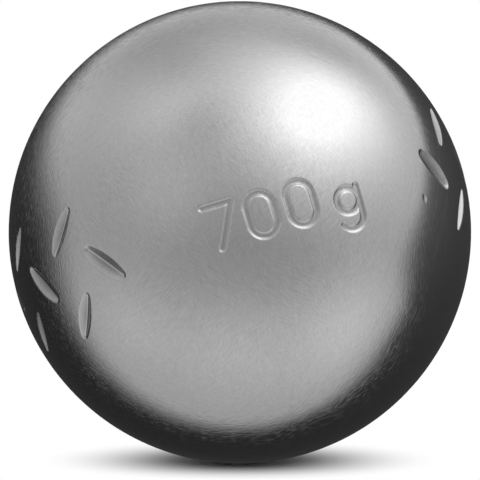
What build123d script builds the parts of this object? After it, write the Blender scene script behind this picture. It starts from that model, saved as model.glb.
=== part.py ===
"""A hollow steel petanque boule: two stamped half shells joined by one machined weld.

The origin is the centre of the ball and +Z is up, as the ball lies on the ground.
Lengths are in millimetres and angles in degrees.
"""

import os
from math import degrees, radians, tan

from build123d import *

# The ball
OUTER_DIAMETER = 74.0
WALL = 6.13

# How the ball lies: where its pole points, and how its belt of cuts is tilted
POLE_TURN_ANGLE = 11.4
POLE_LIFT_ANGLE = 12.4
BELT_TILT_ANGLE = 14.3

# Weld preparation on the lips of the half shells, and the bead that runs through it
BEVEL_ANGLE = 30.0
ROOT_FACE = 1.5
ROOT_GAP = 1.0
ROOT_BEAD_LAP = 1.0
ROOT_BEAD_HEIGHT = 0.8

# One grip cut: a vee-pointed cutter with a flat tip, swung through the skin on an arm
CUT_ARM = 50.0
CUT_FEED = 7.5
CUT_TIP = 0.25
CUT_WALL_ANGLE = 26.0

# The belt of cuts: a middle row between two outer rows that lean the other way, half a step on
CUTS_PER_TURN = 15
BARE_HALF_STEPS = 4
ROW_SPACING = 6.9
MIDDLE_LEAN_ANGLE = 47.0
OUTER_LEAN_ANGLE = 52.0
MIDDLE_DEPTH = 0.74
OUTER_DEPTH = 0.57

# Sizes that follow from the ones above
OUTER_R = OUTER_DIAMETER / 2
INNER_R = OUTER_R - WALL
ROOT_R = INNER_R + ROOT_FACE
HALF_GAP = ROOT_GAP / 2
BEVEL_REACH = HALF_GAP + WALL * tan(radians(BEVEL_ANGLE))
ROOT_BEAD_HALF = HALF_GAP + ROOT_BEAD_LAP
ROOT_BEAD_R = (ROOT_BEAD_HEIGHT**2 + ROOT_BEAD_HALF**2) / (2 * ROOT_BEAD_HEIGHT)
SWING_ANGLE = degrees(CUT_FEED / CUT_ARM)
CUTTER_RISE = 1.6 * MIDDLE_DEPTH
CUTTER_RUN = CUTTER_RISE / tan(radians(CUT_WALL_ANGLE))


def aimed(plane, turn, lift, spin):
    """The plane with its normal swung right by turn, raised by lift and spun on itself."""
    return Plane(plane * Rot(Y=turn) * Rot(X=-lift) * Rot(Z=spin))


# The ball's own plane: its normal is the pole, its X runs along the belt, and the weld lies in it
BALL = aimed(Plane.XZ, POLE_TURN_ANGLE, POLE_LIFT_ANGLE, BELT_TILT_ANGLE)
POLE = Axis(BALL.origin, BALL.z_dir)

# The turned profiles: sketch X is the distance from the pole's axis, sketch Y the height along it
SECTION = Plane(BALL.origin, x_dir=BALL.y_dir, z_dir=BALL.x_dir)


def cut_places():
    """The plane of the tool's tip at every grip cut, from one end of the bare stretch to the other."""
    half_step = 180 / CUTS_PER_TURN
    row_angle = degrees(ROW_SPACING / OUTER_R)
    middle_row = ((0, -MIDDLE_LEAN_ANGLE, MIDDLE_DEPTH),)
    outer_rows = ((row_angle, OUTER_LEAN_ANGLE, OUTER_DEPTH), (-row_angle, OUTER_LEAN_ANGLE, OUTER_DEPTH))
    places = []
    for index in range(BARE_HALF_STEPS, 2 * CUTS_PER_TURN - BARE_HALF_STEPS + 1):
        for lift, lean, depth in outer_rows if index % 2 else middle_row:
            place = aimed(BALL, index * half_step, lift, lean)
            places.append(place.offset(OUTER_R - depth))
    return places


CUT_PLACES = cut_places()

# What the cutter sweeps: a vee round the pivot of its arm, and half the cutter's own cone at each end
PIVOT = Axis((0, 0, CUT_ARM), (0, 1, 0))
with BuildSketch(Plane.YZ) as half_vee:
    Polygon((0, 0), (CUT_TIP / 2, 0), (CUT_TIP / 2 + CUTTER_RUN, CUTTER_RISE), (0, CUTTER_RISE), align=None)
with BuildSketch(Plane.YZ) as vee:
    add(half_vee.sketch_local)
    mirror(half_vee.sketch_local, about=Plane.YZ)
with BuildPart() as vee_cutter:
    revolve(vee.sketch.rotate(PIVOT, -SWING_ANGLE / 2), PIVOT, SWING_ANGLE)
    half_cone = revolve(half_vee.sketch, Axis.Z, 180, mode=Mode.PRIVATE)
    add(half_cone.rotate(PIVOT, SWING_ANGLE / 2))
    add(half_cone.rotate(Axis.Z, 180).rotate(PIVOT, -SWING_ANGLE / 2))

# The bead that the weld pushes through the gap, proud of the inside of the wall
with BuildSketch(SECTION) as root_bead_section:
    with Locations((INNER_R - ROOT_BEAD_HEIGHT + ROOT_BEAD_R, 0)):
        Circle(ROOT_BEAD_R)
    Circle(INNER_R, mode=Mode.INTERSECT)

# The weld in the wall: a straight gap at the root that opens into a vee, flush with the outside
with BuildSketch(SECTION) as weld_section:
    with BuildLine():
        vee_side = Polyline((0, HALF_GAP), (ROOT_R, HALF_GAP), (ROOT_R + WALL, BEVEL_REACH))
        mirror(vee_side, about=Plane.XZ)
        Line(vee_side @ 1, ((vee_side @ 1).X, -BEVEL_REACH))
        Line((0, HALF_GAP), (0, -HALF_GAP))
    make_face()
    Circle(OUTER_R, mode=Mode.INTERSECT)
    Circle(INNER_R, mode=Mode.SUBTRACT)
    add(root_bead_section.sketch_local)

# The rest of the wall, which the weld parts into the two shells
with BuildSketch(SECTION) as shell_sections:
    Circle(OUTER_R)
    Circle(INNER_R, mode=Mode.SUBTRACT)
    Rectangle(OUTER_DIAMETER, 2 * OUTER_DIAMETER, align=(Align.MIN, Align.CENTER), mode=Mode.INTERSECT)
    add(weld_section.sketch_local, mode=Mode.SUBTRACT)
rear_section, front_section = shell_sections.sketch.faces().sort_by(POLE)

# The cuts are made last, across shells and weld alike
with BuildPart() as front_half_shell:
    revolve(front_section, axis=POLE)
    with Locations(*CUT_PLACES):
        add(vee_cutter.part, mode=Mode.SUBTRACT)

with BuildPart() as rear_half_shell:
    revolve(rear_section, axis=POLE)
    with Locations(*CUT_PLACES):
        add(vee_cutter.part, mode=Mode.SUBTRACT)

with BuildPart() as weld_bead:
    revolve(weld_section.sketch, axis=POLE)
    with Locations(*CUT_PLACES):
        add(vee_cutter.part, mode=Mode.SUBTRACT)

front_half_shell.part.label = "front_half_shell"
rear_half_shell.part.label = "rear_half_shell"
weld_bead.part.label = "weld_bead"

os.makedirs("parts", exist_ok=True)
export_step(front_half_shell.part, "parts/front_half_shell.step")
export_step(rear_half_shell.part, "parts/rear_half_shell.step")
export_step(weld_bead.part, "parts/weld_bead.step")
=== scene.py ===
# %% [markdown]
# # A steel petanque boule
# The real ball is two stamped half shells joined by one weld. It is then turned true, cut with its
# belt of grip marks and polished, all as one ball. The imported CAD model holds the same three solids
# in their places. This lesson gives them the skin that a camera sees: cuts with soft edges and tool
# marks, steel that still shows the strokes of the polishing belt, and a studio for it to mirror.

import math

import bpy
import numpy as np
from mathutils import Euler, Matrix, Vector


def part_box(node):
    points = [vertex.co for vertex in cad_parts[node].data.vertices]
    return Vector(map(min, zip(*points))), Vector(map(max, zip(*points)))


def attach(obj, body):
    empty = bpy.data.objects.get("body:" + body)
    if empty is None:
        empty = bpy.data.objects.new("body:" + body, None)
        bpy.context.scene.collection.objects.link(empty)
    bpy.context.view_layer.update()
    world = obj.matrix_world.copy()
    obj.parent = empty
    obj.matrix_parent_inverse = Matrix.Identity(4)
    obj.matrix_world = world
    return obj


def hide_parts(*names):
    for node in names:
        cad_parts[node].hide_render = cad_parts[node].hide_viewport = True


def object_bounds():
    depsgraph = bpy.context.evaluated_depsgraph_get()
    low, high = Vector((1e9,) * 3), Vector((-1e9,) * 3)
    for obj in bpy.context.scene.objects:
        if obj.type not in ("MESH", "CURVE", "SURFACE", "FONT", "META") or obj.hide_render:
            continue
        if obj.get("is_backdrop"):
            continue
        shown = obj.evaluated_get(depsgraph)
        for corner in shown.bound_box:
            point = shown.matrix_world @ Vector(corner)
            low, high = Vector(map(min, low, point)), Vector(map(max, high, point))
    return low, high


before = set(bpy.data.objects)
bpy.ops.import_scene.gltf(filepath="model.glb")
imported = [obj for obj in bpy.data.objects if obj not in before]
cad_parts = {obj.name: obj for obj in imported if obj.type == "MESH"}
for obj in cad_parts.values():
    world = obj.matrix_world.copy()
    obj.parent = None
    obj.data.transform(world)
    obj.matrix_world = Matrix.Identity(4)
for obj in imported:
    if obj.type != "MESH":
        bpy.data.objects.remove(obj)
cad_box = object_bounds()
for node_name in sorted(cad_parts):
    low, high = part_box(node_name)
    print(node_name, "measures", [round(1000 * side, 2) for side in high - low], "mm")

# %% [markdown]
# ## How the ball lies
# The ball rests on the ground with its pole, the middle of the front shell, turned a little to the
# right and up, and with its belt of cuts tilted. All shapes are easier upright, with the pole along
# Z and the belt along X, as on the lathe that turned the ball. So they are modelled that way, and
# the finished pieces are laid down at the end by the three angles that the CAD model has.

# %% The angles of the lay
MM = 0.001
BALL_R = 37.0
SKIN_R = BALL_R - 0.01


def aimed(axes, turn, lift, spin):
    """Axes whose third one is swung right by turn, raised by lift and spun on itself, in degrees."""
    swung = Matrix.Rotation(math.radians(turn), 3, "Y")
    raised = Matrix.Rotation(math.radians(-lift), 3, "X")
    spun = Matrix.Rotation(math.radians(spin), 3, "Z")
    return axes @ swung @ raised @ spun


FACING = Matrix(((1, 0, 0), (0, 0, -1), (0, 1, 0)))
LAY = aimed(FACING, 11.4, 12.4, 14.3)
print("the pole points to", [round(value, 3) for value in LAY.col[2]])

# %% [markdown]
# ## The ball's skin
# A UV sphere would bunch its faces at two poles, and the bunches would show in the reflections. A
# cube that is divided and then cast to a ball has faces of nearly one size everywhere. The Cast
# modifier is kept as a small tool, because it is needed again after every change to the skin. The skin
# lies a hundredth of a millimetre inside the turned ball, which is what polishing takes off.

# %% A divided cube, cast to a ball
CUBE_CUTS = 47


def cast_to_ball(piece, radius, group=""):
    """Draws a piece's points to a ball of that radius in mm, as far as their weight in a group says."""
    cast = piece.modifiers.new("cast_to_ball", "CAST")
    cast.cast_type = "SPHERE"
    cast.factor = 1
    cast.use_radius_as_size = False
    cast.radius = 0
    cast.size = radius * MM
    cast.vertex_group = group
    bpy.ops.object.modifier_apply(modifier=cast.name)


bpy.ops.object.select_all(action="DESELECT")
bpy.ops.mesh.primitive_cube_add(size=2 * BALL_R * MM)
skin = bpy.context.object
skin.name = "skin"
bpy.ops.object.mode_set(mode="EDIT")
bpy.ops.mesh.subdivide(number_cuts=CUBE_CUTS)
bpy.ops.object.mode_set(mode="OBJECT")
cast_to_ball(skin, SKIN_R)
print("the skin starts with", len(skin.data.polygons), "faces")

# %% [markdown]
# ## The edges of the weld
# The lips of the two shells are bevelled by 30 degrees and stand 1 mm apart, and the weld fills that
# vee. Where the bevels come out at the surface, the skin is bisected by two planes, so that it can
# be parted there into the three pieces once everything that crosses the weld is cut.

# %% Two planes through the skin
WALL = 6.13
INNER_R = BALL_R - WALL
ROOT_FACE = 1.5
ROOT_R = INNER_R + ROOT_FACE
HALF_GAP = 0.5
BEVEL = math.tan(math.radians(30))
foot = HALF_GAP - BEVEL * ROOT_R
stretch = 1 + BEVEL**2
EDGE_R = (math.sqrt(stretch * BALL_R**2 - foot**2) - BEVEL * foot) / stretch
EDGE_H = foot + BEVEL * EDGE_R

bpy.ops.object.mode_set(mode="EDIT")
for height in (EDGE_H, -EDGE_H):
    bpy.ops.mesh.select_all(action="SELECT")
    bpy.ops.mesh.bisect(plane_co=(0, 0, height * MM), plane_no=(0, 0, 1))
bpy.ops.object.mode_set(mode="OBJECT")
print("the weld shows", round(2 * EDGE_H, 2), "mm wide on the outside")

# %% [markdown]
# ## Where the cuts lie
# The belt has a middle row of cuts between two shallower outer rows that lean the other way, half a
# step on, and a stretch about the pole stays bare. Each cut is made by a turning cutter with a vee
# point and a small flat tip, swung through the skin on an arm. So it is deepest and widest half-way,
# and each end is round. For any point of the ball, the place of the cutter that comes nearest tells
# how far the point lies from the rim and how deep the cut is there.

# %% Measuring from the cuts
CUT_ARM = 50.0
CUT_FEED = 7.5
CUT_SWING = CUT_FEED / CUT_ARM / 2
CUT_TIP = 0.25
CUT_SLOPE = math.tan(math.radians(26))
FIRST_STEP = 4
LAST_STEP = 26
HALF_STEP = 12
ROW_SPACING = 6.9
ROW_ANGLE = math.degrees(ROW_SPACING / BALL_R)
OUTER_ROWS = ((ROW_ANGLE, 52, 0.57), (-ROW_ANGLE, 52, 0.57))
MIDDLE_ROW = ((0, -47, 0.74),)

cuts = []
for index in range(FIRST_STEP, LAST_STEP + 1):
    for lift, lean, deepest in OUTER_ROWS if index % 2 else MIDDLE_ROW:
        cuts.append((np.array(aimed(Matrix.Identity(3), HALF_STEP * index, lift, lean)), deepest))


def seen_from_cutter(points, axes, deepest):
    """How far points lie off the axis of the cutter where it comes nearest, and how far above its tip."""
    along, across, out = (points @ axes).T
    below_pivot = CUT_ARM + BALL_R - deepest - out
    swing = np.clip(np.arctan2(along, below_pivot), -CUT_SWING, CUT_SWING)
    ahead = along * np.cos(swing) - below_pivot * np.sin(swing)
    above = CUT_ARM - along * np.sin(swing) - below_pivot * np.cos(swing)
    return np.hypot(ahead, across), above


def cut_rim(points, axes, deepest):
    """How far points on the ball lie outside the rim of a cut, less than zero inside it."""
    off_axis, above = seen_from_cutter(points, axes, deepest)
    return off_axis - CUT_TIP / 2 - above / CUT_SLOPE


def cut_below(points, axes, deepest):
    """How far a cut lies below points on the ball, towards the middle of the ball."""
    below = np.zeros(len(points))
    for _ in range(6):
        off_axis, above = seen_from_cutter(points * (1 - below / BALL_R)[:, None], axes, deepest)
        wall = np.maximum(off_axis - CUT_TIP / 2, 0) * CUT_SLOPE
        below = np.maximum(below + above - wall, 0)
    return below


print(len(cuts), "cuts")

# %% [markdown]
# ## The weight, engraved at the pole
# A boule has its weight on it, because players choose by it and umpires check it. A text object
# would have to be bent round the ball and would bring its font's own look. Plain strokes are drawn
# here instead, as an engraver's cutter would follow them, and measured like the cuts: the cutter
# leaves a flat floor and sloping sides.

# %% The strokes of the engraving
STROKE_HALF = 0.56
STROKE_SIDE = 0.27
STROKE_DEPTH = 0.26
FIELD_HALF = (18, 10)
FAR = 99.0


def arc(middle, radius, start, end):
    """Points along part of a circle, angles in degrees."""
    angles = np.radians(np.linspace(start, end, 25))
    return [(middle[0] + radius * math.cos(a), middle[1] + radius * math.sin(a)) for a in angles]


def seven(x):
    """The digit's one stroke."""
    return [[(x - 2.2, 3.4), (x + 2.2, 3.4), (x - 0.9, -3.4)]]


def nought(x):
    """Two half circles and the straight sides between them."""
    ring = arc((x, 1.3), 2.1, 0, 180) + arc((x, -1.3), 2.1, 180, 360)
    return [ring + ring[:1]]


def gram(x):
    """A round bowl, and a stem that hooks back under it."""
    bowl = arc((x, -1.5), 1.9, 0, 360)
    stem = [(x + 1.9, 0.4)] + arc((x, -4.1), 1.9, 0, -150)
    return [bowl, stem]


engraving = seven(-10.2) + nought(-4.0) + nought(2.4) + gram(10.0)


def from_strokes(points):
    """How far points on the ball lie from the engraver's strokes, seen along the pole."""
    found = np.full(len(points), FAR)
    in_field = (np.abs(points[:, :2]) < FIELD_HALF).all(axis=1)
    near = np.flatnonzero(in_field & (points[:, 2] > 0))
    flat = points[near, :2]
    for stroke in engraving:
        for start, end in zip(np.array(stroke[:-1]), np.array(stroke[1:])):
            run = end - start
            share = np.clip((flat - start) @ run / (run @ run), 0, 1)
            gap = np.linalg.norm(flat - start - share[:, None] * run, axis=1)
            found[near] = np.minimum(found[near], gap)
    return found


print(len(engraving), "strokes")

# %% [markdown]
# ## A dent from play
# Boules hit each other, and this one has a small dent by its right-hand cuts. It is a shallow bowl.

# %% The dent
DENT = np.array(aimed(Matrix.Identity(3), 40.1, -6.4, 12))
DENT_LENGTH = 0.55
DENT_WIDTH = 0.8
DENT_REACH = 0.6
DENT_DEPTH = 0.055


def from_dent(points):
    """1 on the rim of the dent and 0 in its middle."""
    along, across, out = (points @ DENT).T
    return np.where(out > 0, np.hypot(along / DENT_LENGTH, across / DENT_WIDTH), FAR)


print("the dent lies towards", [round(value, 3) for value in DENT[:, 2]])

# %% [markdown]
# ## Finer faces where the skin is cut
# A skin fine enough for the cuts would be far too heavy all over. So faces near a cut, a stroke, the
# dent or an edge of the weld are divided in four, then those nearer still, and so on. Each time, the
# new points are laid on the ball again.

# %% One survey of the skin
NEAR_CUT = 0.955 * BALL_R
# How far the painted highlight along a cut's tip line fades out to its sides, in mm.
TIP_HIGHLIGHT_FADE = 0.08


def survey(points):
    """Distance outside the nearest cut or mark and to its nearest edge, depth, feed, and the tip line for
    a painted highlight.
    """
    outside = np.full(len(points), FAR)
    to_edge = np.full(len(points), FAR)
    depth = np.zeros(len(points))
    feed = np.zeros(len(points))
    tip_highlight = np.zeros(len(points))
    for axes, deepest in cuts:
        near = np.flatnonzero(points @ axes[:, 2] > NEAR_CUT)
        rim = cut_rim(points[near], axes, deepest)
        off_tip = seen_from_cutter(points[near], axes, deepest)[0] - CUT_TIP / 2
        nearest = rim < outside[near]
        feed[near[nearest]] = (points[near] @ axes[:, 0])[nearest]
        outside[near] = np.minimum(outside[near], rim)
        to_edge[near] = np.minimum(to_edge[near], np.minimum(np.abs(rim), np.abs(off_tip)))
        # The line under the cutter's tip, faded at its sides, is where the steel's colour gets a painted
        # highlight.
        tip_highlight[near] = np.maximum(tip_highlight[near], np.clip(0.5 - off_tip / TIP_HIGHLIGHT_FADE, 0, 1))
        depth[near] = np.maximum(depth[near], cut_below(points[near], axes, deepest))
    stroke = from_strokes(points)
    outside = np.minimum(outside, stroke - STROKE_HALF)
    to_edge = np.minimum(to_edge, np.abs(stroke - STROKE_HALF + STROKE_SIDE / 2))
    depth = np.maximum(depth, STROKE_DEPTH * np.clip((STROKE_HALF - stroke) / STROKE_SIDE, 0, 1))
    dent = from_dent(points)
    outside = np.minimum(outside, DENT_REACH * (dent - 1))
    depth = np.maximum(depth, DENT_DEPTH * np.clip(1 - dent**2, 0, 1) ** 2)
    return outside, to_edge, depth, feed, tip_highlight


def places(items, field):
    """The places of a mesh's points or faces, in mm, laid on the ball."""
    found = np.empty(3 * len(items), dtype=np.float32)
    items.foreach_get(field, found)
    found = found.reshape(-1, 3).astype(float)
    return found * (BALL_R / np.linalg.norm(found, axis=1, keepdims=True))


centres = places(skin.data.polygons, "center")
print(np.count_nonzero(survey(centres)[0] < 0), "faces have their middle in a cut or mark so far")

# %% Four rounds of dividing
ROUNDS = ((2.4, FAR, 1.6), (0.9, FAR, 0.7), (0.35, FAR, 0), (0.3, 0.2, 0))


def select_faces(piece, chosen):
    """Opens a piece in edit mode with only the chosen faces selected."""
    bpy.ops.object.mode_set(mode="EDIT")
    bpy.ops.mesh.select_mode(type="FACE")
    bpy.ops.mesh.select_all(action="DESELECT")
    bpy.ops.object.mode_set(mode="OBJECT")
    piece.data.polygons.foreach_set("select", chosen)
    bpy.ops.object.mode_set(mode="EDIT")


for reach, edge_reach, weld_reach in ROUNDS:
    centres = places(skin.data.polygons, "center")
    outside, to_edge, _, _, _ = survey(centres)
    at_weld = np.abs(np.abs(centres[:, 2]) - EDGE_H) < weld_reach
    select_faces(skin, (outside < reach) & (to_edge < edge_reach) | at_weld)
    bpy.ops.mesh.subdivide(number_cuts=1)
    bpy.ops.object.mode_set(mode="OBJECT")
    cast_to_ball(skin, SKIN_R)
    print("divided within", reach, "mm:", len(skin.data.polygons), "faces")

# %% [markdown]
# ## Cutting
# The tool leaves every point of a cut straight below where it was, seen from the middle of the ball.
# A vertex group holds how deep, and one more Cast, to a smaller ball, takes each point down by just
# that much. Along the cut edges the points are then smoothed a little, as the polishing belt rounds
# them. How far a point lies along its cut is kept for the tool marks, and so is the line under the tip
# of the cutter, where the steel's colour gets a painted highlight.

# %% Points taken down by their weight
DEEPEST = 0.75
ROUNDED_EDGE = 0.16
ROUNDED_OUTSIDE = 0.3
points = places(skin.data.vertices, "co")
outside, to_edge, depth, feed, tip_highlight = survey(points)
taken_down = skin.vertex_groups.new(name="taken_down")
for number in np.flatnonzero(depth > 0):
    taken_down.add([int(number)], depth[number] / DEEPEST, "REPLACE")
cast_to_ball(skin, SKIN_R - DEEPEST, "taken_down")
# The tip line is kept on the mesh for the painted highlight in the steel's colour.
for name, values in (("along_cut", feed), ("painted_tip_highlight", tip_highlight)):
    kept = skin.data.attributes.new(name, "FLOAT", "POINT")
    kept.data.foreach_set("value", values.astype(np.float32))

bpy.ops.object.mode_set(mode="EDIT")
bpy.ops.mesh.select_mode(type="VERT")
bpy.ops.mesh.select_all(action="DESELECT")
bpy.ops.object.mode_set(mode="OBJECT")
skin.data.vertices.foreach_set("select", (to_edge < ROUNDED_EDGE) & (outside < ROUNDED_OUTSIDE))
bpy.ops.object.mode_set(mode="EDIT")
bpy.ops.mesh.vertices_smooth(factor=0.5, repeat=4)
bpy.ops.object.mode_set(mode="OBJECT")
print(np.count_nonzero(depth), "points cut, the deepest by", round(depth.max(), 3), "mm")

# %% [markdown]
# ## Parting the skin
# The skin is now finished right across the weld, so it can be parted along the two bisected edges.
# The three parts meet there point for point, and no line shows between them, as on the real ball.

# %% Three parts of one skin
def part_off(chosen, name):
    """Separates the chosen faces from the skin as a piece of their own."""
    select_faces(skin, chosen)
    bpy.ops.mesh.separate(type="SELECTED")
    bpy.ops.object.mode_set(mode="OBJECT")
    piece = next(item for item in bpy.context.selected_objects if item != skin)
    piece.name = name
    piece.select_set(False)
    return piece


front_shell = part_off(places(skin.data.polygons, "center")[:, 2] > EDGE_H, "front_shell")
rear_shell = part_off(places(skin.data.polygons, "center")[:, 2] < -EDGE_H, "rear_shell")
weld = skin
weld.name = "weld"
for piece in (front_shell, rear_shell, weld):
    print(piece.name, "has", len(piece.data.polygons), "faces outside")

# %% [markdown]
# ## The walls behind the skin
# Each shell is 6 mm of steel, and the weld fills the vee between their lips and stands a little
# proud inside. Nobody sees that, but a shell without its wall would be paper. The open edge of each
# part is extruded along the profile of the wall, one ring at a time: down the bevel, across the root
# face and along the inside. Extruding keeps the ring's points, so the wall closes without gaps.

# %% Walls of the shells
INSIDE_RINGS = 15
LAST_RING = 0.02


def only(piece):
    """Makes one piece the selected and active one."""
    bpy.ops.object.select_all(action="DESELECT")
    piece.select_set(True)
    bpy.context.view_layer.objects.active = piece


def follow(profile):
    """Extrudes the selected ring from the first point of a profile, (radius, height), to its last."""
    for (radius, height), (next_radius, next_height) in zip(profile, profile[1:]):
        shrink = next_radius / radius
        bpy.ops.mesh.extrude_edges_move()
        bpy.ops.transform.resize(value=(shrink, shrink, 1), center_override=(0, 0, 0))
        bpy.ops.transform.translate(value=(0, 0, (next_height - height) * MM))


def open_edge():
    """Selects the edges that a part is open along."""
    bpy.ops.mesh.select_mode(type="EDGE")
    bpy.ops.mesh.select_all(action="DESELECT")
    others = {"use_wire": False, "use_multi_face": False, "use_non_contiguous": False, "use_verts": False}
    bpy.ops.mesh.select_non_manifold(**others)


inside_edge = math.sqrt(INNER_R**2 - HALF_GAP**2)
root_angle = math.acos(HALF_GAP / INNER_R)
shell_profile = [(EDGE_R, EDGE_H), (ROOT_R, HALF_GAP)]
for angle in np.linspace(root_angle, LAST_RING, INSIDE_RINGS):
    shell_profile.append((INNER_R * math.sin(angle), INNER_R * math.cos(angle)))

for shell, side in ((front_shell, 1), (rear_shell, -1)):
    only(shell)
    bpy.ops.object.mode_set(mode="EDIT")
    open_edge()
    follow([(radius, side * height) for radius, height in shell_profile])
    bpy.ops.mesh.merge(type="CENTER")
    bpy.ops.mesh.select_all(action="SELECT")
    bpy.ops.mesh.normals_make_consistent(inside=False)
    bpy.ops.object.mode_set(mode="OBJECT")
    print(shell.name, "is", len(shell.data.polygons), "faces with its wall")

# %% The sides and the root of the weld
BEAD_HALF = 1.5
BEAD_HEIGHT = 0.8
BEAD_STEPS = (1.0, 0.5)
bead_r = (BEAD_HEIGHT**2 + BEAD_HALF**2) / (2 * BEAD_HEIGHT)
weld_profile = [(EDGE_R, EDGE_H), (ROOT_R, HALF_GAP), (inside_edge, HALF_GAP)]
weld_profile.append((math.sqrt(INNER_R**2 - BEAD_HALF**2), BEAD_HALF))
for height in BEAD_STEPS:
    weld_profile.append((INNER_R - BEAD_HEIGHT + bead_r - math.sqrt(bead_r**2 - height**2), height))

only(weld)
for side in (1, -1):
    bpy.ops.object.mode_set(mode="EDIT")
    open_edge()
    bpy.ops.object.mode_set(mode="OBJECT")
    heights = places(weld.data.vertices, "co")[:, 2]
    for edge in weld.data.edges:
        edge.select = edge.select and bool(heights[edge.vertices[0]] * side > 0.9 * EDGE_H)
    bpy.ops.object.mode_set(mode="EDIT")
    follow([(radius, side * height) for radius, height in weld_profile])
open_edge()
bpy.ops.mesh.bridge_edge_loops()
bpy.ops.mesh.select_all(action="SELECT")
bpy.ops.mesh.normals_make_consistent(inside=False)
bpy.ops.object.mode_set(mode="OBJECT")
print(weld.name, "is", len(weld.data.polygons), "faces with its sides")

# %% [markdown]
# ## Laid on the ground
# The pieces are turned the way the ball lies, and the turn is applied, so that their objects sit at
# the origin unturned, as the CAD nodes do. Shading is smooth except across the edges of the lips.

# %% Turned, smoothed and tied to the frame
LIP_ANGLE = math.radians(55)
stands_for = {front_shell: "front_half_shell", rear_shell: "rear_half_shell", weld: "weld_bead"}
for piece, node in stands_for.items():
    only(piece)
    piece.rotation_euler = LAY.to_euler()
    bpy.ops.object.transform_apply(location=False, rotation=True, scale=False)
    bpy.ops.object.shade_smooth_by_angle(angle=LIP_ANGLE)
    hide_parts(node)
    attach(piece, "root")
    triangles = sum(len(face.vertices) - 2 for face in piece.data.polygons)
    print(piece.name, "stands for", node, "with", triangles, "triangles")

# %% [markdown]
# ## Writing shader maths
# A finish is mostly arithmetic on patterns. Adding Math nodes one by one hides it, so one small class
# stands for a node's output: sums and products of such wires add the Math nodes themselves, and one
# method adds any other node.

# %% A wire between nodes
class Wire:
    """One output of a node. Python's operators on it add Math nodes."""

    def __init__(self, tree, socket=None):
        self.tree = tree
        self.socket = socket

    def node(self, kind, settings, sockets, output=0):
        """Adds a node: its settings first, then values or wires on its sockets. Gives one output."""
        made = self.tree.nodes.new(kind)
        for name, value in settings.items():
            setattr(made, name, value)
        for key, value in sockets.items():
            if isinstance(value, Wire):
                self.tree.links.new(value.socket, made.inputs[key])
            else:
                made.inputs[key].default_value = value
        return Wire(self.tree, made.outputs[output]) if len(made.outputs) else None

    def math(self, operation, first, second=0.0):
        """Adds a Math node."""
        return self.node("ShaderNodeMath", {"operation": operation}, {0: first, 1: second})

    def __add__(self, other):
        return self.math("ADD", self, other)

    __radd__ = __add__

    def __sub__(self, other):
        return self.math("SUBTRACT", self, other)

    def __rsub__(self, other):
        return self.math("SUBTRACT", other, self)

    def __mul__(self, other):
        return self.math("MULTIPLY", self, other)

    __rmul__ = __mul__

    def __truediv__(self, other):
        return self.math("DIVIDE", self, other)

    def __pow__(self, other):
        return self.math("POWER", self, other)

    def dot(self, axis):
        """How far a vector reaches along an axis."""
        return self.node("ShaderNodeVectorMath", {"operation": "DOT_PRODUCT"}, {0: self, 1: axis}, "Value")

    def ramp(self, start, end):
        """A smooth step from 0 at start to 1 at end."""
        sockets = {"Value": self, "From Min": start, "From Max": end}
        return self.node("ShaderNodeMapRange", {"interpolation_type": "SMOOTHSTEP"}, sockets)


def new_tree(owner):
    """An empty node tree on a material or world, as a wire to start from."""
    owner.use_nodes = True
    owner.node_tree.nodes.clear()
    return Wire(owner.node_tree)


print("wires add, subtract, multiply, divide and raise")

# %% [markdown]
# ## Satin steel
# Stainless steel off a polishing belt is not a mirror. The belt leaves fine strokes that cross in
# several directions, and they feather the edge of every reflection. Each set of strokes is noise in
# thin sheets, which shows as fine arcs where the sheets cut the ball. The last pass is made on a
# spindle. Its rings show most towards the edge of the ball, and hairs of them catch the light inside
# the dark reflections. All of it tilts the surface a little, through a Bump node, and varies how rough
# and how dark the steel is. The strokes bear harder in some places than in others. A few stray
# scratches are the same noise, cut off near its peaks.

# %% Strokes of the belt
steel = bpy.data.materials.new("satin_steel")
wire = new_tree(steel)
place = wire.node("ShaderNodeTexCoord", {}, {}, "Object")
place = wire.node("ShaderNodeVectorMath", {"operation": "SCALE"}, {0: place, "Scale": 1000})


def noise(vector, detail):
    """Noise with features about one unit of its vector across."""
    sockets = {"Vector": vector, "Scale": 1.0, "Detail": detail, "Roughness": 0.55}
    return wire.node("ShaderNodeTexNoise", {}, sockets)


def strokes(turn, length, width):
    """Noise in thin sheets that stand across the Z axis after that turn; length and width in mm."""
    turned = Euler([math.radians(angle) for angle in turn])
    sockets = {"Vector": place, "Rotation": turned, "Scale": (length, length, width)}
    sheets = noise(wire.node("ShaderNodeMapping", {"vector_type": "TEXTURE"}, sockets), 0)
    facing = place.dot(turned.to_matrix().col[2]) / BALL_R
    return (sheets - 0.5) * (1 - facing * facing)


def patches(offset, size):
    """Soft patches, 0 to 1, in which one set of strokes shows more than another."""
    sockets = {"Vector": place, "Location": offset, "Scale": (size, size, size)}
    return noise(wire.node("ShaderNodeMapping", {"vector_type": "TEXTURE"}, sockets), 1).ramp(0.35, 0.65)


rising = strokes((0, -44, 0), 1.5, 0.15)
falling = strokes((8, 32, 14), 1.4, 0.15)
steep = strokes((0, -98, 20), 1.8, 0.17)
across = strokes((70, 10, 84), 1.6, 0.16)
print("the strokes of the belt take", len(steel.node_tree.nodes), "nodes")

# %% Rings round the spindle
SPINDLE = aimed(FACING, -6, 1, 0)
x, y, z = (place.dot(axis) for axis in SPINDLE.transposed())
off_spindle = (x * x + y * y + 0.01) ** 0.5


def turned_strokes(length, width, start):
    """Noise drawn out round the spindle, from some place along it; length and width in mm."""
    per_turn = BALL_R / length
    around = {"X": x / off_spindle * per_turn, "Y": y / off_spindle * per_turn, "Z": z / width + start}
    return (noise(wire.node("ShaderNodeCombineXYZ", {}, around), 0) - 0.5) * off_spindle / BALL_R


rings = turned_strokes(1.1, 0.15, 0)
hairs = turned_strokes(1.4, 0.1, 50).ramp(0.0, 0.28)
print("the spindle points to", [round(value, 3) for value in SPINDLE.col[2]])
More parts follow.
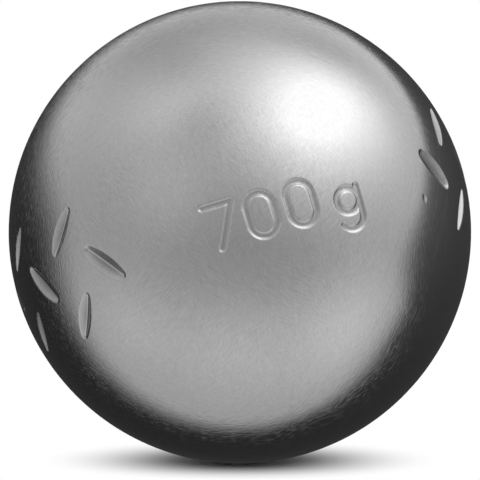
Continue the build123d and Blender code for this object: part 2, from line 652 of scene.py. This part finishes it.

# %% [markdown]
# Inside a cut the steel is as the tool left it, with small steps across the feed. A point lies in a
# cut if it is nearer to the middle of the ball than the skin is, and how far along the cut it lies
# was kept on the mesh. The colour in a cut is a little darker, with painted shade that deepens
# towards its floor, a painted highlight along the line under the cutter's tip, and a painted
# highlight over the whole of the cuts at the two far sides of the ball.

# %% Tool marks, painted shade and painted highlights in the cuts
TOOL_STEP = 0.22
radius = wire.node("ShaderNodeVectorMath", {"operation": "LENGTH"}, {0: place}, "Value")
in_cut = (BALL_R - radius).ramp(0.05, 0.14)
# Painted shade: the colour in a cut darkens with its depth below the skin.
cut_depth_shade = (BALL_R - radius).ramp(0.1, 0.75)
along = wire.node("ShaderNodeAttribute", {"attribute_name": "along_cut"}, {}, "Fac")
along_feed = {"W": along / TOOL_STEP, "Scale": 1.0, "Detail": 1.0}
steps = wire.node("ShaderNodeTexNoise", {"noise_dimensions": "1D"}, along_feed)
# Painted highlight along the line under the cutter's tip.
tip_highlight = wire.node("ShaderNodeAttribute", {"attribute_name": "painted_tip_highlight"}, {}, "Fac")
# Painted highlight over the cuts at the two far sides of the ball, left and right.
limb_cut_highlight = wire.math("ABSOLUTE", place.dot((1, 0, 0))).ramp(32.8, 34.5)
# The cut's colour factor: a little darker all over, painted shade by depth, painted highlights added.
cut_painted_light = 1 - (0.1 + 0.42 * cut_depth_shade - 0.5 * tip_highlight - 0.8 * limb_cut_highlight) * in_cut
print("the tool leaves a step every", TOOL_STEP, "mm")

# %% Scratches, and all of it together
STEEL_TONE = 0.43
STROKE_HEIGHT = 0.000016
scratched = strokes((20, -62, 10), 45, 0.13).ramp(0.27, 0.33)
upper_right = place.dot((0.7, 0, 0.7)).ramp(2, 30)
upper_left = place.dot((-0.6, 0, 0.8)).ramp(8, 30)
far_left = place.dot((-1, 0, 0)).ramp(15, 30)
lower_right = place.dot((0.8, 0, -0.6)).ramp(18, 30)
borne = 0.82 - 0.4 * upper_right + 0.7 * upper_left + 0.3 * far_left + 0.15 * lower_right

first_patch = patches((3, 7, 1), 15)
crossing = rising * first_patch + falling * (1 - first_patch) + 0.5 * steep + 0.5 * across
belt = crossing * (1 - 0.9 * off_spindle.ramp(18, 31)) + 0.85 * rings
clouds = noise(wire.node("ShaderNodeVectorMath", {"operation": "SCALE"}, {0: place, "Scale": 0.08}), 3)

height = (belt + 0.46 * hairs) * borne * (1 - in_cut) + steps * in_cut * 1.2 - 0.25 * scratched
bump = wire.node("ShaderNodeBump", {}, {"Strength": 1.0, "Distance": STROKE_HEIGHT, "Height": height})
finish = 0.97 + 0.25 * belt + 0.06 * clouds - 0.04 * scratched
# The cuts' painted shade and painted highlights are multiplied into the steel's colour here.
shade = STEEL_TONE * finish * cut_painted_light
roughness = 0.1 + 0.04 * belt + 0.05 * clouds + 0.08 * in_cut
surface = {"Base Color": shade, "Metallic": 1.0, "Roughness": roughness, "Normal": bump}
coat = wire.node("ShaderNodeBsdfPrincipled", {}, surface)
wire.node("ShaderNodeOutputMaterial", {}, {"Surface": coat})
for piece in (front_shell, rear_shell, weld):
    piece.data.materials.clear()
    piece.data.materials.append(steel)
print("satin steel has", len(steel.node_tree.nodes), "nodes")

# %% [markdown]
# ## The studio that the steel mirrors
# Polished steel has no colour of its own to show, only what stands round it. Here that is a pale
# tent with a soft lamp to the upper right, the dimmer opening for the camera, and two dark curtains
# behind the ball that draw its edge. The tent is a large ball that only mirrored rays see. Its light
# is worked out from the direction alone: soft patches of light and shade, an oval for each curtain,
# and a lamp behind cloth that lets no more than so much through.

# %% The tent
TENT_R = 3
bpy.ops.object.select_all(action="DESELECT")
bpy.ops.mesh.primitive_uv_sphere_add(segments=64, ring_count=32, radius=TENT_R)
tent = bpy.context.object
tent.name = "studio_tent"
bpy.ops.object.mode_set(mode="EDIT")
bpy.ops.mesh.flip_normals()
bpy.ops.object.mode_set(mode="OBJECT")
tent.visible_camera = False
tent.visible_diffuse = False
tent.visible_shadow = False
tent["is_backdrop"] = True
print("the tent reaches", TENT_R, "m from the ball")


def towards(azimuth, elevation):
    """The direction at an azimuth, to the right of the camera, and an elevation, in degrees."""
    turn, rise = math.radians(azimuth), math.radians(elevation)
    return Vector((math.sin(turn) * math.cos(rise), -math.cos(turn) * math.cos(rise), math.sin(rise)))


tent_light = bpy.data.materials.new("tent_light")
wire = new_tree(tent_light)
outward = wire.node("ShaderNodeTexCoord", {}, {}, "Object")
outward = wire.node("ShaderNodeVectorMath", {"operation": "NORMALIZE"}, {0: outward})


def patch_of_light(azimuth, elevation, tightness, strength):
    """A soft patch of light, or of shade if its strength is below zero."""
    return strength * wire.math("EXPONENT", tightness * (outward.dot(towards(azimuth, elevation)) - 1))


def curtain(azimuth, elevation, roll, half_width, half_height, blur):
    """1 well inside an oval dark curtain and 0 well outside it; angles in degrees."""
    middle = towards(azimuth, elevation)
    level = middle.cross((0, 0, 1)).normalized()
    spin = Matrix.Rotation(math.radians(-roll), 3, middle)
    across = outward.dot(spin @ level) / math.tan(math.radians(half_width))
    along = outward.dot(spin @ level.cross(middle)) / math.tan(math.radians(half_height))
    return (outward.dot(middle) - (across * across + along * along) ** 0.5).ramp(-1 * blur, blur)


# %% Panels, curtains and lamp
PANEL_LIGHT = 0.789
CURTAIN_LIGHT = 0.028
LAMP_LIGHT = 1.98
MOST_LIGHT = 2.3

# The azimuth, elevation, tightness and strength of each patch
PATCHES = (
    (-39, 25, 9.5, 0.368), (45, -24, 1.5, -0.416), (-37, 35, 2.6, -0.4), (3, -52, 6, 0.391),
    (-84, 54, 7.3, 0.293), (98, 55, 14, 0.938), (64, -37, 7.7, 0.597), (-63, -35, 14, 0.185),
    (-134, 27, 31.5, 0.197), (152.5, 10.7, 17.8, 0.433), (196, 13, 21.5, 0.29), (144, 50.3, 36, -0.264),
    (-154.6, 38.3, 12.2, -0.254), (-67, 58, 35, 0.125), (-31, 60, 38.5, -0.136), (-125, 65, 47.5, -0.166),
    (35, -53, 19.6, -0.074), (110, -37, 36.5, -0.372), (94, 5, 40, 0.047), (103, -18.4, 38, -0.082),
)
panels = PANEL_LIGHT
for patch in PATCHES:
    panels = panels + patch_of_light(*patch)

raised = wire.math("MAXIMUM", outward.dot((0, 0, 1)), 0.0)
right_blur = wire.math("MAXIMUM", 0.379 - 0.656 * raised, 0.142)
right_curtain = curtain(137.8, -1, -14.4, 43.5, 20.2, right_blur)
left_blur = wire.math("MAXIMUM", 0.244 - 0.2 * outward.dot((1, 0, 0)) - 0.345 * raised, 0.205)
left_curtain = curtain(180, -28.6, -6, 71.8, 42.3, left_blur)
lit = CURTAIN_LIGHT + (panels - CURTAIN_LIGHT) * ((1 - right_curtain) * (1 - left_curtain)) ** 2

off_lamp = 4.2 * (2.0001 - 2 * outward.dot(towards(56, 54.7)))
lamp = LAMP_LIGHT * wire.math("EXPONENT", -1 * off_lamp**0.62)
seen_light = wire.math("MINIMUM", lit + lamp, MOST_LIGHT)
bounces = wire.node("ShaderNodeLightPath", {}, {}, "Diffuse Depth")
straight = wire.math("LESS_THAN", bounces, 0.5)
glow = wire.node("ShaderNodeEmission", {}, {"Color": seen_light * straight})
wire.node("ShaderNodeOutputMaterial", {}, {"Surface": glow})
tent_light.cycles.emission_sampling = "NONE"
tent.data.materials.append(tent_light)
print("the tent's light has", len(tent_light.node_tree.nodes), "nodes")

# %% [markdown]
# ## Floor and surroundings
# The floor is white paper under even light. A ball that stands on it shuts out the light below, and
# that soft dark pool is its shadow. Further out the paper is lit from behind, so that it goes over
# into the white surroundings, sooner to the front and back than to the sides. Mirrored rays pass
# through it to the tent.

# %% White surroundings and paper floor
FLOOR_SIZE = 8
POOL_EDGE = 8.5
PAPER_LIT = 33
world = bpy.data.worlds.new("white_surroundings")
bpy.context.scene.world = world
wire = new_tree(world)
surround = wire.node("ShaderNodeBackground", {}, {"Color": (1, 1, 1, 1), "Strength": 1.0})
wire.node("ShaderNodeOutputWorld", {}, {"Surface": surround})

bpy.ops.object.select_all(action="DESELECT")
bpy.ops.mesh.primitive_plane_add(size=FLOOR_SIZE, location=(0, 0, cad_box[0].z))
floor = bpy.context.object
floor.name = "paper_floor"
bpy.ops.object.transform_apply(location=True, rotation=False, scale=False)
floor.visible_glossy = False
floor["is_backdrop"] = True

paper = bpy.data.materials.new("white_paper")
wire = new_tree(paper)
place = wire.node("ShaderNodeTexCoord", {}, {}, "Object")
to_mm = {0: place, 1: (1000, 1500, 0), 2: (0, -1.5, 0)}
place = wire.node("ShaderNodeVectorMath", {"operation": "MULTIPLY_ADD"}, to_mm)
from_contact = wire.node("ShaderNodeVectorMath", {"operation": "LENGTH"}, {0: place}, "Value")
seen = wire.node("ShaderNodeLightPath", {}, {}, "Is Camera Ray")
matt = wire.node("ShaderNodeBsdfDiffuse", {}, {"Color": (0.9, 0.9, 0.9, 1)})
backlight = wire.node("ShaderNodeEmission", {}, {"Color": (1, 1, 1, 1)})
lit_share = from_contact.ramp(POOL_EDGE, PAPER_LIT) * seen
blend = wire.node("ShaderNodeMixShader", {}, {0: lit_share, 1: matt, 2: backlight})
wire.node("ShaderNodeOutputMaterial", {}, {"Surface": blend})
floor.data.materials.append(paper)
print("floor at", round(1000 * cad_box[0].z, 2), "mm")

# %% [markdown]
# ## The camera
# The photograph is taken from a little above, with a long lens, so that the ball's outline is almost
# a circle and fills the picture.

# %% A long lens
DISTANCE = 0.9
RISE = 6.5
AIM = Vector((0.00002, 0, -0.00123))
camera = bpy.data.objects.new("camera", bpy.data.cameras.new("camera"))
bpy.context.scene.collection.objects.link(camera)
camera.data.sensor_width = 36
camera.data.lens = 421.7
camera.location = DISTANCE * towards(0, RISE)
camera.rotation_euler = (AIM - camera.location).to_track_quat("-Z", "Y").to_euler()
bpy.context.scene.camera = camera
bpy.context.scene.view_settings.view_transform = "Standard"
print("the camera stands at", [round(value, 3) for value in camera.location], "m")

# %% Sizes, and the end
boxes = {"cad": cad_box, "visual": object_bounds()}
seen_size = boxes["visual"][1] - boxes["visual"][0]
print("the ball looks", [round(1000 * side, 3) for side in seen_size], "mm across")
